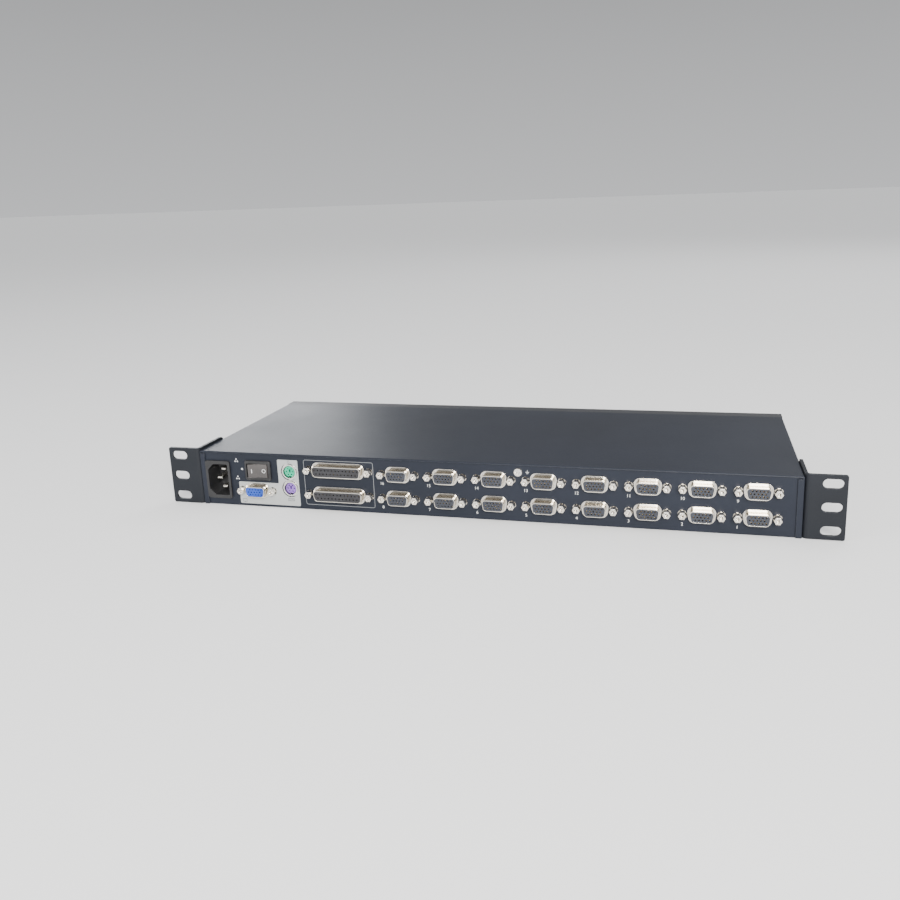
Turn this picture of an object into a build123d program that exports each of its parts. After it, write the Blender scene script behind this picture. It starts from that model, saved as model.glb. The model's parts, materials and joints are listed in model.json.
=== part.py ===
"""Sixteen-port rack-mount KVM switch, one rack unit high.

Frame: X runs along the port panel, Y from the port panel (-Y) to the control panel (+Y), Z up.
The origin is the bottom centre of the bounding box, so the switch stands on the XY plane.
All sizes are in millimetres.
"""

import os
from math import cos, radians, sin

from build123d import *

os.makedirs("parts", exist_ok=True)

# ------------------------------------------------------------------ driving dimensions
# Enclosure
sheet = 1.0  # steel of the tray and the cover
chassis_height = 42.0
chassis_depth = 160.0  # port panel face to bezel face
seam = 0.1  # gap between folded sheets
lip_width = 4.0  # side lips of the cover, in front of the port panel
lip_relief = 1.2  # gap between a lip and the top of the cover
cover_bend = 1.2
tray_side_height = 10.0  # low side walls of the tray
tray_tab_height = 37.0  # tall side tabs that take the side screws
tray_tab_length = 40.0
vent_count = 14
vent_pitch = 5.0
vent_width = 2.4
vent_height = 16.0

# Rack ears
ear_thickness = 2.0
ear_bend = 1.5  # inside radius
ear_height = 43.66
ear_lift = 0.1  # underside of the ear above the underside of the chassis
ear_reach = 25.8  # from the side of the chassis to the outer edge
ear_forward = 1.1  # ear face in front of the port panel
ear_leg = 34.0  # leg along the side, behind the port panel
ear_leg_corner = 4.0
ear_flange_corner = 1.2
rack_hole_inset = 8.75  # hole line to the outer edge
rack_hole_pitch = 15.875
rack_slot_length = 12.7
rack_slot_width = 6.5

# Computer ports: two rows of high-density fifteen-way sockets
port_columns = 8
port_pitch = 35.1
port_left_margin = 157.7  # left side of the chassis to the last column
port_right_margin = 27.6  # first column to the right side of the chassis
port_row_low = 12.0
port_row_gap = 18.0

# D-shaped sockets
shell_reach = 5.4  # in front of the port panel
shell_wall = 0.45
shell_height = 7.9
shell_slope = 10.0  # degrees, of the D's sides
shell_corner = 2.4
small_shell_width = 16.33
large_shell_width = 38.4
small_screw_gap = 24.99
large_screw_gap = 47.04
plate_thickness = 0.8
plate_margin_x = 3.0  # plate beyond a jackscrew's axis
plate_margin_z = 6.25
plate_corner = 1.0
rim_margin = 1.9  # raised rim round a shell: its outside beyond the shell
rim_wall = 1.0
rim_reach = 0.7  # in front of the port panel
contact_radius = 0.56
contact_depth = 3.5
nose_recess = 0.3
fit = 0.05  # general running gap of fixed pieces in each other
housing_depth = 11.0
housing_inset = 2.6  # housing's side inside a jackscrew's axis

# Jackscrews
hex_across = 4.8
hex_reach = 4.8  # in front of the port panel
hex_chamfer = 0.3
jack_hole_radius = 1.25
jack_hole_depth = 4.5
jack_tail_radius = 1.4
jack_tail_length = 5.0
jack_clear_radius = 2.9

# Console and chain ports, each x from the left side of the chassis
inlet_x = 14.3
inlet_z = 20.0
switch_x = 47.5
switch_z = 28.4
video_x = 45.6
video_z = 12.6
keyboard_x = 72.6
keyboard_z = 15.2
mouse_lift = 13.0
chain_x = 111.7
chain_z = 12.2
chain_row_gap = 18.6

# Power inlet
inlet_flange_width = 20.2
inlet_flange_height = 29.5
inlet_flange_thickness = 1.5
inlet_body_width = 19.4
inlet_body_height = 27.4
inlet_body_depth = 21.0
inlet_cavity_width = 16.4
inlet_cavity_height = 24.2
inlet_cavity_depth = 17.0
inlet_cavity_bevel = 4.6
blade_width = 4.0
blade_thickness = 2.0
blade_length = 12.2
blade_gap = 14.0
blade_offset = 2.0

# Power switch
switch_bezel_width = 21.0
switch_bezel_height = 15.0
switch_bezel_thickness = 1.8
switch_body_width = 19.0
switch_body_height = 12.8
switch_body_depth = 15.0
rocker_opening_width = 17.6
rocker_opening_height = 10.8
rocker_gap = 0.2
rocker_pivot_depth = 1.6  # behind the port panel's face
rocker_tip = 4.6  # tips in front of the pivot
rocker_waist = 3.4  # middle of the rocker in front of the pivot
rocker_back = 2.5
rocker_tilt = 9.0  # degrees each side of the middle
rocker_pin_radius = 1.0
rocker_pin_length = 0.7
rocker_pin_gap = 0.08

# Mini round sockets for keyboard and mouse
round_panel_radius = 6.6
collar_radius = 5.7
collar_bore = 4.8
collar_reach = 0.4
insert_radius = 4.2
insert_recess = 0.8
round_pocket_depth = 9.0
round_box_width = 14.4
round_box_depth = 13.0
round_pin_radius = 0.45
round_pin_circle = 2.6
round_pin_depth = 4.0

# Printed console area, laid on the port panel as a film
film = 0.2
film_left = 30.5  # left edge, from the left side of the chassis
film_step = 63.5  # where the tall part starts
film_right = 79.8
film_bottom = 1.8
film_low_top = 18.9
film_high_top = 37.4
film_corner = 1.0

# Ground screw on the port panel
ground_z = 36.2
ground_head_radius = 3.3
ground_head_height = 1.7
ground_column = 4.5  # between the fifth and the sixth column

# Circuit boards
board = 1.6
spacer_height = 3.6
board_front_gap = 0.5
main_board_depth = 104.0
main_board_left = 60.0  # from the left side of the chassis
board_edge = 6.0  # board to the side of the chassis
spacer_radius = 2.6
spacer_inset = 5.0
supply_left = 5.0
supply_width = 50.0
supply_back = 30.0  # board's edge behind the port panel
supply_rear_gap = 12.0  # its other edge to the outside of the tray's front wall
supply_lead_inset = 11.0  # middle of the supply lead to the main board's edge

# Leads inside the case
wire_radius = 0.9
ribbon_x = 117.0
ribbon_width = 25.0
ribbon_thickness = 0.8
ribbon_lift = 2.0  # above the main board

# Screws, metric three
screw_radius = 1.5
screw_hole = 1.7
thread_hole = 1.55
screw_tip = 1.9  # shank beyond the sheets that it joins
head_radius = 2.8
head_height = 1.5
drive_width = 0.8
drive_depth = 0.8

# Control bezel and what shows through it
bezel_depth = 12.0
bezel_face = 2.0
bezel_wall = 2.0
bezel_corner = 1.6
button_count = 16
button_pitch = 14.6
button_group_gap = 9.0
button_width = 10.0
button_height = 8.0
button_z = 15.0
button_proud = 1.2
button_travel = 1.2
button_gap = 0.25
button_flange = 0.9
button_flange_gap = 0.2
button_edge = 0.6
button_row_x = -6.0  # middle of the button row
lens_z = 24.6
lens_width = 2.6
lens_height = 1.6
lens_gap = 4.8
button_board_gap = 2.2
button_board_margin = 4.0
boss_radius = 2.5
boss_inset = 20.5  # from the side of the chassis
boss_zs = (9.0, 33.0)
boss_hole_depth = 5.0
post_radius = 3.0
post_inset = 8.5
post_zs = (10.0, 32.0)
tact_size = 6.0
tact_height = 2.9
tact_plunger = 0.8
display_x = 147.0
display_z = 19.5
display_width = 20.0
display_height = 12.5
display_recess = 0.6
power_lens_x = 127.0
reset_x = -139.0
reset_z = 15.0
reset_radius = 1.6
reset_gap = 0.2
reset_recess = 0.9
reset_travel = 0.8
slider_x = -154.0
slider_z = 15.0
slider_width = 3.0
slider_height = 3.0
slider_travel = 3.0
slider_proud = 0.4
slider_gap = 0.25
socket_x = -181.0
socket_z = 19.0
socket_width = 13.0
socket_height = 13.0
socket_depth = 17.0
socket_mouth_width = 9.9
socket_mouth_height = 6.9
socket_mouth_depth = 14.5
socket_latch_width = 6.2
socket_latch_height = 2.0

# ------------------------------------------------------------------ places worked out from them
chassis_width = port_left_margin + (port_columns - 1) * port_pitch + port_right_margin
side = chassis_width / 2
port_y = -(chassis_depth + button_proud - shell_reach) / 2  # face of the port panel
panel_back = port_y + sheet
bezel_y = port_y + chassis_depth  # face of the bezel
wall_y = bezel_y - bezel_depth  # outside of the tray's front wall
cover_y = port_y - sheet - seam  # front of the cover's lips
plate_back = panel_back + plate_thickness
tray_side = side - sheet - seam
supply_depth = wall_y - supply_rear_gap - (port_y + supply_back)
under_cover = chassis_height - sheet - seam
board_bottom = sheet + spacer_height
board_top = board_bottom + board
port_row_high = port_row_low + port_row_gap
port_xs = [side - port_right_margin - i * port_pitch for i in range(port_columns)]
port_spots = [(x, z) for z in (port_row_low, port_row_high) for x in port_xs]
video_spot = (-side + video_x, video_z)
chain_mid = -side + chain_x
chain_spots = [(chain_mid, chain_z), (chain_mid, chain_z + chain_row_gap)]
round_x = -side + keyboard_x
round_spots = [(round_x, keyboard_z), (round_x, keyboard_z + mouse_lift)]
inlet_spot = (-side + inlet_x, inlet_z)
switch_spot = (-side + switch_x, switch_z)
ground_spot = (side - port_right_margin - ground_column * port_pitch, ground_z)
ear_y = port_y - ear_forward
ear_mid = ear_lift + ear_height / 2
rack_x = side + ear_reach - rack_hole_inset
rack_zs = [ear_mid - rack_hole_pitch, ear_mid, ear_mid + rack_hole_pitch]
side_screw_spots = [(port_y + 8.0, 9.0), (port_y + 8.0, 33.0), (port_y + 27.0, 21.0)]
front_screw_spot = (wall_y - 9.0, 31.0)
vent_mid_y = (port_y + tray_tab_length + wall_y - tray_tab_length) / 2
half_row = (button_count - 1) * button_pitch / 2 + button_group_gap / 2
button_xs = [
    button_row_x + half_row - i * button_pitch - (button_group_gap if i >= button_count / 2 else 0)
    for i in range(button_count)
]
button_board_back = wall_y + button_board_gap
button_board_face = button_board_back + board
tact_top = button_board_face + tact_height
bezel_inside = bezel_y - bezel_face
boss_spots = [(sign * (side - boss_inset), z) for sign in (-1, 1) for z in boss_zs]
post_spots = [(sign * (side - post_inset), z) for sign in (-1, 1) for z in post_zs]
button_board_width = 2 * (side - boss_inset + boss_radius + button_board_margin)
main_left = -side + main_board_left
main_right = side - board_edge
main_front = plate_back + board_front_gap


def facing_out(y):
    """Sketch plane at this Y, seen from the port side: its normal is -Y."""
    return Plane.XZ.offset(-y)


def front_edges(part, y):
    """Edges that lie in the plane at this Y."""
    return part.edges().filter_by_position(Axis.Y, y - 0.01, y + 0.01)


def d_points(width, height):
    """Corners of a D, wide side up, about its own middle."""
    inset = height * sin(radians(shell_slope)) / cos(radians(shell_slope))
    return [
        (-width / 2, height / 2),
        (width / 2, height / 2),
        (width / 2 - inset, -height / 2),
        (-width / 2 + inset, -height / 2),
    ]


def d_outline(width, height, corner):
    """Sketch of a D with rounded corners, wide side up, about its own middle."""
    with BuildSketch() as outline:
        with BuildLine():
            Polyline(*d_points(width, height), close=True)
        make_face()
        fillet(outline.vertices(), corner)
    return outline.sketch


def inset_d(width, inset):
    """The D of a shell of this width, moved inwards by the inset."""
    return d_outline(width - 2 * inset, shell_height - 2 * inset, shell_corner - inset)


def contact_grid(rows, pitch, row_gap):
    """Contact positions for rows of the given counts, centred, each row centred on its own."""
    top = (len(rows) - 1) * row_gap / 2
    return [
        ((i - (count - 1) / 2) * pitch + shift, top - n * row_gap)
        for n, (count, shift) in enumerate(rows)
        for i in range(count)
    ]


small_contacts = contact_grid([(5, 0.57), (5, -0.57), (5, 0.57)], 2.29, 1.98)
large_contacts = contact_grid([(13, 0), (12, 0)], 2.77, 2.84)
small_cutout = inset_d(small_shell_width, -rim_margin - fit)
large_cutout = inset_d(large_shell_width, -rim_margin - fit)


# ------------------------------------------------------------------ tray, cover and ears
def panel_cutouts():
    """Openings of the port panel, drawn in the sketch that is open."""
    for x, z in port_spots + [video_spot]:
        with Locations((x, z)):
            add(small_cutout, mode=Mode.SUBTRACT)
            with Locations((-small_screw_gap / 2, 0), (small_screw_gap / 2, 0)):
                Circle(jack_clear_radius, mode=Mode.SUBTRACT)
    for x, z in chain_spots:
        with Locations((x, z)):
            add(large_cutout, mode=Mode.SUBTRACT)
            with Locations((-large_screw_gap / 2, 0), (large_screw_gap / 2, 0)):
                Circle(jack_clear_radius, mode=Mode.SUBTRACT)
    with Locations(*round_spots):
        Circle(round_panel_radius, mode=Mode.SUBTRACT)
    with Locations(inlet_spot):
        Rectangle(inlet_body_width + 2 * fit, inlet_body_height + 2 * fit, mode=Mode.SUBTRACT)
    with Locations(switch_spot):
        Rectangle(switch_body_width + 2 * fit, switch_body_height + 2 * fit, mode=Mode.SUBTRACT)
    with Locations(ground_spot):
        Circle(thread_hole, mode=Mode.SUBTRACT)


def build_tray():
    with BuildPart() as tray:
        with BuildSketch(Plane.XY):
            with Locations((0, (port_y + wall_y) / 2)):
                Rectangle(2 * tray_side, wall_y - port_y)
        extrude(amount=sheet)
        with BuildSketch(facing_out(panel_back)):
            with Locations((0, under_cover / 2)):
                Rectangle(2 * tray_side, under_cover)
            panel_cutouts()
        extrude(amount=sheet)
        with BuildSketch(facing_out(wall_y)):
            with Locations((0, under_cover / 2)):
                Rectangle(2 * tray_side, under_cover)
            with Locations((socket_x, socket_z)):
                Rectangle(socket_width + 2, socket_height + 2, mode=Mode.SUBTRACT)
            with Locations((ribbon_x, board_top + ribbon_lift)):
                Rectangle(ribbon_width + 5.0, 5.0, mode=Mode.SUBTRACT)
            with Locations(*post_spots):
                Circle(screw_hole, mode=Mode.SUBTRACT)
        extrude(amount=sheet)
        for x in (-tray_side, tray_side - sheet):
            with BuildSketch(Plane.YZ.offset(x)):
                with BuildLine():
                    Polyline(
                        (port_y, 0),
                        (wall_y, 0),
                        (wall_y, tray_tab_height),
                        (wall_y - tray_tab_length / 2, tray_tab_height),
                        (wall_y - tray_tab_length / 2, tray_side_height),
                        (port_y + tray_tab_length, tray_side_height),
                        (port_y + tray_tab_length, tray_tab_height),
                        (port_y, tray_tab_height),
                        close=True,
                    )
                make_face()
                with Locations(*side_screw_spots, front_screw_spot):
                    Circle(thread_hole, mode=Mode.SUBTRACT)
            extrude(amount=sheet)
    tray.part.label = "base_tray"
    export_step(tray.part, "parts/base_tray.step")


def build_cover():
    with BuildPart() as cover:
        length = wall_y - fit - cover_y
        with BuildSketch(Plane.XY):
            with Locations((0, cover_y + length / 2)):
                Rectangle(chassis_width, length)
        extrude(amount=chassis_height)
        fillet(cover.edges().filter_by(Axis.Y).group_by(Axis.Z)[-1], cover_bend)
        fillet(cover.edges().filter_by(Axis.Z).group_by(Axis.Y)[0], cover_bend * 0.8)
        with BuildSketch(Plane.XY):
            with Locations((0, port_y - seam + length / 2)):
                Rectangle(chassis_width - 2 * sheet, length)
        extrude(amount=chassis_height - sheet, mode=Mode.SUBTRACT)
        opening = chassis_height - sheet
        with BuildSketch(facing_out(port_y)):
            with Locations((0, opening / 2)):
                Rectangle(chassis_width - 2 * lip_width, opening)
            with Locations((0, opening - lip_relief / 2)):
                Rectangle(chassis_width - 2 * sheet, lip_relief)
        extrude(amount=sheet + 2 * seam, mode=Mode.SUBTRACT)
        with BuildSketch(Plane.YZ.offset(-side)):
            with Locations(*side_screw_spots, front_screw_spot):
                Circle(screw_hole)
            with Locations((vent_mid_y, chassis_height / 2)):
                with GridLocations(vent_pitch, 1, vent_count, 1):
                    SlotOverall(vent_height, vent_width, rotation=90)
        extrude(amount=chassis_width, mode=Mode.SUBTRACT)
    cover.part.label = "top_cover"
    export_step(cover.part, "parts/top_cover.step")


def build_ears():
    with BuildPart() as ear:
        with BuildSketch(Plane.XY.offset(ear_lift)) as plan:
            with BuildLine():
                Polyline(
                    (side, port_y + ear_leg),
                    (side, ear_y),
                    (side + ear_reach, ear_y),
                    (side + ear_reach, ear_y + ear_thickness),
                    (side + ear_thickness, ear_y + ear_thickness),
                    (side + ear_thickness, port_y + ear_leg),
                    close=True,
                )
            make_face()
            front_corner = plan.vertices().sort_by_distance((side, ear_y, ear_lift))[0]
            fillet(front_corner, ear_thickness + ear_bend)
            back_spot = (side + ear_thickness, ear_y + ear_thickness, ear_lift)
            fillet(plan.vertices().sort_by_distance(back_spot)[0], ear_bend)
        extrude(amount=ear_height)
        fillet(ear.edges().filter_by(Axis.X).group_by(Axis.Y)[-1], ear_leg_corner)
        fillet(ear.edges().filter_by(Axis.Y).group_by(Axis.X)[-1], ear_flange_corner)
        with BuildSketch(facing_out(ear_y + ear_thickness)):
            with Locations(*[(rack_x, z) for z in rack_zs]):
                SlotOverall(rack_slot_length, rack_slot_width)
        extrude(amount=ear_thickness, mode=Mode.SUBTRACT)
        with BuildSketch(Plane.YZ.offset(side)):
            with Locations(*side_screw_spots):
                Circle(screw_hole)
        extrude(amount=ear_thickness, mode=Mode.SUBTRACT)
    ear.part.label = "rack_ear_right"
    export_step(ear.part, "parts/rack_ear_right.step")
    with BuildPart() as left_ear:
        add(mirror(ear.part, about=Plane.YZ, mode=Mode.PRIVATE))
    left_ear.part.label = "rack_ear_left"
    export_step(left_ear.part, "parts/rack_ear_left.step")


def pan_head_screws(plane, spots, shank, radius=head_radius, height=head_height):
    """Pan-head screws in the part that is open: heads on the plane, along its normal."""
    with BuildSketch(plane) as heads:
        with Locations(*spots):
            Circle(radius)
    extrude(heads.sketch, amount=height, taper=18)
    with BuildSketch(plane) as shanks:
        with Locations(*spots):
            Circle(screw_radius)
    extrude(shanks.sketch, amount=-shank)
    with BuildSketch(plane.offset(height)) as drives:
        with Locations(*spots):
            Rectangle(radius * 1.1, drive_width)
            Rectangle(drive_width, radius * 1.1)
    extrude(drives.sketch, amount=-drive_depth, mode=Mode.SUBTRACT)


def side_plane(sign, x):
    """Sketch plane at X = sign * x whose normal points away from the chassis, drawn in (Y, Z)."""
    return Plane(origin=(sign * x, 0, 0), x_dir=(0, sign, 0), z_dir=(sign, 0, 0))


def build_screws():
    with BuildPart() as ear_screws:
        for sign in (-1, 1):
            spots = [(sign * y, z) for y, z in side_screw_spots]
            length = ear_thickness + 2 * sheet + seam + screw_tip
            pan_head_screws(side_plane(sign, side + ear_thickness), spots, length)
    ear_screws.part.label = "ear_screws"
    export_step(ear_screws.part, "parts/ear_screws.step")

    with BuildPart() as case_screws:
        for sign in (-1, 1):
            y, z = front_screw_spot
            length = 2 * sheet + seam + screw_tip
            pan_head_screws(side_plane(sign, side), [(sign * y, z)], length)
        board_spots = main_board_spots() + supply_spots()
        pan_head_screws(Plane.XY.offset(board_top), board_spots, board + spacer_height - 1.2)
        pan_head_screws(facing_out(button_board_back), boss_spots, board + boss_hole_depth - 1.0)
        pan_head_screws(facing_out(wall_y - sheet), post_spots, sheet + boss_hole_depth - 1.0)
    case_screws.part.label = "case_screws"
    export_step(case_screws.part, "parts/case_screws.step")

    with BuildPart() as ground_screw:
        plane = facing_out(port_y)
        pan_head_screws(plane, [ground_spot], 6.0, ground_head_radius, ground_head_height)
    ground_screw.part.label = "ground_screw"
    export_step(ground_screw.part, "parts/ground_screw.step")


# ------------------------------------------------------------------ D-shaped sockets
def shell_plate(spots, width, gap):
    """Steel plate behind the panel, with a drawn shell and a raised rim at each spot."""
    low = min(z for _, z in spots) - plate_margin_z
    high = max(z for _, z in spots) + plate_margin_z
    rim = inset_d(width, -rim_margin)
    groove = inset_d(width, rim_wall - rim_margin)
    outer = inset_d(width, 0)
    inner = inset_d(width, shell_wall)
    with BuildSketch(facing_out(plate_back)) as plate:
        with Locations((spots[0][0], (low + high) / 2)):
            Rectangle(gap + 2 * plate_margin_x, high - low)
        fillet(plate.vertices(), plate_corner)
    extrude(plate.sketch, amount=plate_thickness)
    with BuildSketch(facing_out(panel_back)) as rims:
        with Locations(*spots):
            add(rim)
            add(groove, mode=Mode.SUBTRACT)
    extrude(rims.sketch, amount=sheet + rim_reach)
    with BuildSketch(facing_out(panel_back)) as shells:
        with Locations(*spots):
            add(outer)
    extrude(shells.sketch, amount=sheet + shell_reach)
    with BuildSketch(facing_out(plate_back)) as openings:
        with Locations(*spots):
            add(inner)
            with Locations((-gap / 2, 0), (gap / 2, 0)):
                Circle(jack_tail_radius + fit)
    depth = plate_thickness + sheet + shell_reach
    extrude(openings.sketch, amount=depth, mode=Mode.SUBTRACT)


def socket_housing(spots, width, gap, contacts):
    """Moulded body behind the plate, with a nose and its contact holes inside each shell."""
    high = max(z for _, z in spots) + plate_margin_z - plate_corner
    nose = inset_d(width, shell_wall + fit)
    nose_face = port_y - shell_reach + nose_recess
    with BuildSketch(facing_out(plate_back + housing_depth)) as body:
        with Locations((spots[0][0], (board_top + high) / 2)):
            Rectangle(gap - 2 * housing_inset, high - board_top)
    extrude(body.sketch, amount=housing_depth)
    with BuildSketch(facing_out(plate_back)) as noses:
        with Locations(*spots):
            add(nose)
    extrude(noses.sketch, amount=plate_back - nose_face)
    with BuildSketch(facing_out(nose_face)) as holes:
        with Locations(*spots):
            with Locations(*contacts):
                Circle(contact_radius)
    extrude(holes.sketch, amount=-contact_depth, mode=Mode.SUBTRACT)


def build_ports():
    for column, x in enumerate(port_xs, start=1):
        spots = [(x, port_row_low), (x, port_row_high)]
        with BuildPart() as dual_port:
            shell_plate(spots, small_shell_width, small_screw_gap)
        dual_port.part.label = f"dual_port_shell_{column}"
        export_step(dual_port.part, f"parts/{dual_port.part.label}.step")
    with BuildPart() as housings:
        for x in port_xs:
            spots = [(x, port_row_low), (x, port_row_high)]
            socket_housing(spots, small_shell_width, small_screw_gap, small_contacts)
    housings.part.label = "port_housings"
    export_step(housings.part, "parts/port_housings.step")


def build_console_and_chain():
    with BuildPart() as video_shell:
        shell_plate([video_spot], small_shell_width, small_screw_gap)
    video_shell.part.label = "video_shell"
    export_step(video_shell.part, "parts/video_shell.step")
    with BuildPart() as video_housing:
        socket_housing([video_spot], small_shell_width, small_screw_gap, small_contacts)
    video_housing.part.label = "video_housing"
    export_step(video_housing.part, "parts/video_housing.step")
    with BuildPart() as chain_shells:
        shell_plate(chain_spots, large_shell_width, large_screw_gap)
    chain_shells.part.label = "chain_shells"
    export_step(chain_shells.part, "parts/chain_shells.step")
    with BuildPart() as chain_housing:
        socket_housing(chain_spots, large_shell_width, large_screw_gap, large_contacts)
    chain_housing.part.label = "chain_housing"
    export_step(chain_housing.part, "parts/chain_housing.step")


def build_jackscrews():
    small = [
        (x + s * small_screw_gap / 2, z) for x, z in port_spots + [video_spot] for s in (-1, 1)
    ]
    large = [(x + s * large_screw_gap / 2, z) for x, z in chain_spots for s in (-1, 1)]
    spots = small + large
    with BuildPart() as jackscrews:
        with BuildSketch(facing_out(panel_back)):
            with Locations(*spots):
                RegularPolygon(hex_across / 2, 6, major_radius=False)
        extrude(amount=sheet + hex_reach)
        chamfer(front_edges(jackscrews, port_y - hex_reach), hex_chamfer)
        with BuildSketch(facing_out(panel_back)):
            with Locations(*spots):
                Circle(jack_tail_radius)
        extrude(amount=-(plate_thickness + jack_tail_length))
        with BuildSketch(facing_out(port_y - hex_reach)):
            with Locations(*spots):
                Circle(jack_hole_radius)
        extrude(amount=-jack_hole_depth, mode=Mode.SUBTRACT)
    jackscrews.part.label = "jackscrews"
    export_step(jackscrews.part, "parts/jackscrews.step")


# ------------------------------------------------------------------ keyboard and mouse sockets
def build_round_sockets():
    box_high = keyboard_z + mouse_lift + round_box_width / 2
    box_front = panel_back + seam
    with BuildPart() as shield:
        with BuildSketch(facing_out(box_front + round_box_depth)):
            with Locations((round_x, (board_top + box_high) / 2)):
                Rectangle(round_box_width, box_high - board_top)
        extrude(amount=round_box_depth)
        with BuildSketch(facing_out(box_front)):
            with Locations(*round_spots):
                Circle(collar_radius)
        extrude(amount=seam + sheet + collar_reach)
        with BuildSketch(facing_out(port_y - collar_reach)):
            with Locations(*round_spots):
                Circle(collar_bore)
        extrude(amount=-round_pocket_depth, mode=Mode.SUBTRACT)
    shield.part.label = "round_socket_shield"
    export_step(shield.part, "parts/round_socket_shield.step")

    pocket_floor = port_y - collar_reach + round_pocket_depth
    insert_face = port_y + insert_recess
    for name, spot in zip(("keyboard_insert", "mouse_insert"), round_spots):
        with BuildPart() as insert:
            with BuildSketch(facing_out(pocket_floor)):
                with Locations(spot):
                    Circle(insert_radius)
            extrude(amount=pocket_floor - insert_face)
            with BuildSketch(facing_out(insert_face)):
                with Locations(spot):
                    with PolarLocations(round_pin_circle, 6):
                        Circle(round_pin_radius)
                    with Locations((0, 0.6)):
                        Rectangle(1.3, 2.2)
                    with Locations((0, -insert_radius)):
                        Rectangle(2.2, 1.4)
            extrude(amount=-round_pin_depth, mode=Mode.SUBTRACT)
        insert.part.label = name
        export_step(insert.part, f"parts/{name}.step")


def build_console_film():
    with BuildPart() as console_film:
        with BuildSketch(facing_out(port_y)) as outline:
            with BuildLine():
                Polyline(
                    (-side + film_left, film_bottom),
                    (-side + film_right, film_bottom),
                    (-side + film_right, film_high_top),
                    (-side + film_step, film_high_top),
                    (-side + film_step, film_low_top),
                    (-side + film_left, film_low_top),
                    close=True,
                )
            make_face()
            fillet(outline.vertices(), film_corner)
            panel_cutouts()
        extrude(amount=film)
    console_film.part.label = "console_film"
    export_step(console_film.part, "parts/console_film.step")


# ------------------------------------------------------------------ power inlet and switch
def build_inlet():
    x, z = inlet_spot
    half_width = inlet_cavity_width / 2
    half_height = inlet_cavity_height / 2
    face = port_y - inlet_flange_thickness
    with BuildPart() as inlet:
        with BuildSketch(facing_out(port_y)) as flange:
            with Locations(inlet_spot):
                Rectangle(inlet_flange_width, inlet_flange_height)
            fillet(flange.vertices(), 2.0)
        extrude(amount=inlet_flange_thickness)
        with BuildSketch(facing_out(port_y + inlet_body_depth)):
            with Locations(inlet_spot):
                Rectangle(inlet_body_width, inlet_body_height)
        extrude(amount=inlet_body_depth)
        with BuildSketch(facing_out(face)) as cavity:
            with BuildLine():
                Polyline(
                    (x + half_width, z - half_height),
                    (x + half_width, z + half_height),
                    (x - half_width + inlet_cavity_bevel, z + half_height),
                    (x - half_width, z + half_height - inlet_cavity_bevel),
                    (x - half_width, z - half_height + inlet_cavity_bevel),
                    (x - half_width + inlet_cavity_bevel, z - half_height),
                    close=True,
                )
            make_face()
            fillet(cavity.vertices(), 1.0)
        extrude(amount=-inlet_cavity_depth, mode=Mode.SUBTRACT)
    inlet.part.label = "power_inlet"
    export_step(inlet.part, "parts/power_inlet.step")

    floor = face + inlet_cavity_depth
    blade_spots = [
        (x + blade_offset, z - blade_gap / 2),
        (x + blade_offset, z + blade_gap / 2),
        (x - blade_offset, z),
    ]
    with BuildPart() as blades:
        with BuildSketch(facing_out(floor)):
            with Locations(*blade_spots):
                Rectangle(blade_width, blade_thickness)
        extrude(amount=blade_length)
        tips = blades.faces().group_by(Axis.Y)[0].edges()
        chamfer(tips, 0.5)
    blades.part.label = "inlet_blades"
    export_step(blades.part, "parts/inlet_blades.step")


def build_power_switch():
    x, z = switch_spot
    pivot_y = port_y + rocker_pivot_depth
    sweep_radius = rocker_opening_width / 2 - rocker_gap
    rocker_height = rocker_opening_height - 2 * rocker_gap
    cavity_depth = sweep_radius + rocker_gap
    with BuildPart() as frame:
        with BuildSketch(facing_out(port_y)) as bezel:
            with Locations(switch_spot):
                Rectangle(switch_bezel_width, switch_bezel_height)
            fillet(bezel.vertices(), 1.5)
        extrude(amount=switch_bezel_thickness)
        chamfer(frame.faces().sort_by(Axis.Y)[0].edges(), 0.6)
        with BuildSketch(facing_out(port_y + switch_body_depth)):
            with Locations(switch_spot):
                Rectangle(switch_body_width, switch_body_height)
        extrude(amount=switch_body_depth)
        with BuildSketch(facing_out(port_y - switch_bezel_thickness)):
            with Locations(switch_spot):
                Rectangle(rocker_opening_width, rocker_opening_height)
        opening_depth = switch_bezel_thickness + rocker_pivot_depth + cavity_depth
        extrude(amount=-opening_depth, mode=Mode.SUBTRACT)
        with BuildSketch(Plane.XY.offset(z - switch_body_height / 2)):
            with Locations((x, pivot_y)):
                Circle(rocker_pin_radius + rocker_pin_gap)
        extrude(amount=switch_body_height, mode=Mode.SUBTRACT)
    frame.part.label = "power_switch_frame"
    export_step(frame.part, "parts/power_switch_frame.step")

    def arc_x(reach):
        return (sweep_radius**2 - reach**2) ** 0.5

    tilted = Plane(
        origin=(x, pivot_y, z - rocker_height / 2),
        x_dir=(cos(radians(rocker_tilt)), sin(radians(rocker_tilt)), 0),
        z_dir=(0, 0, 1),
    )
    tip_x = arc_x(rocker_tip)
    back_x = arc_x(rocker_back)
    with BuildPart() as rocker:
        with BuildSketch(tilted):
            with BuildLine():
                Polyline((-tip_x, -rocker_tip), (0, -rocker_waist), (tip_x, -rocker_tip))
                ThreePointArc((tip_x, -rocker_tip), (sweep_radius, 0), (back_x, rocker_back))
                Line((back_x, rocker_back), (-back_x, rocker_back))
                ThreePointArc(
                    (-back_x, rocker_back), (-sweep_radius, 0), (-tip_x, -rocker_tip)
                )
            make_face()
        extrude(amount=rocker_height)
        with BuildSketch(tilted.offset(-rocker_pin_length)):
            Circle(rocker_pin_radius)
        extrude(amount=rocker_height + 2 * rocker_pin_length)
    rocker.part.label = "power_rocker"
    export_step(rocker.part, "parts/power_rocker.step")


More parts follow.
